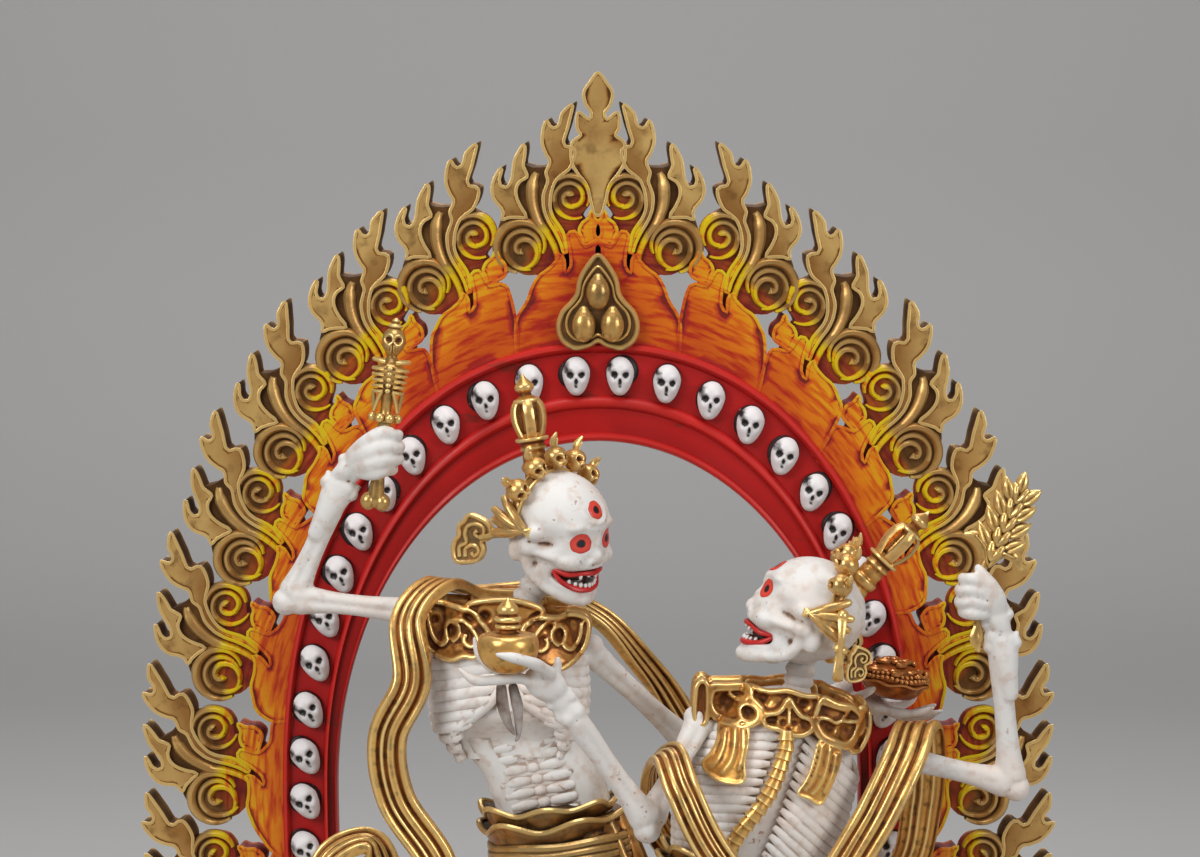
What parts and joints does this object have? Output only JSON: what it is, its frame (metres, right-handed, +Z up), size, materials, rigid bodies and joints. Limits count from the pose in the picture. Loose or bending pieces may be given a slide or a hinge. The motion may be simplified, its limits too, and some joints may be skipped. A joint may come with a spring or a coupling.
{
  "type": "chitipati statue",
  "caption": "Painted and gilded metal statue of a dancing skeleton couple before an oval aureole of flames and small skulls, standing on a low lotus base.",
  "frame": {"origin": "centre of the base's underside", "axes": "+Z up, -Y towards the viewer, +X to the viewer's right"},
  "size_m": [0.2394, 0.1078, 0.3134],
  "materials": {
    "gilding": "matte gilding, rubbed bright on the ridges, brown in the grooves",
    "flame_paint": "red, orange and yellow lacquer brushed over cast flames with gilded tips",
    "bone_paint": "off-white matte paint with faint brown in the crevices"
  },
  "bodies": {
    "root": {"lotus_base": "gilding", "flame_aureole": "flame_paint", "lord_figure": "bone_paint", "lady_figure": "bone_paint", "lord_crown": "gilding", "lady_crown": "gilding", "lord_scarf": "gilding", "lady_scarf": "gilding", "bone_staff": "gilding", "grain_stalk": "gilding", "skull_cup": "gilding", "budded_bowl": "gilding"}
  },
  "joints": []
}
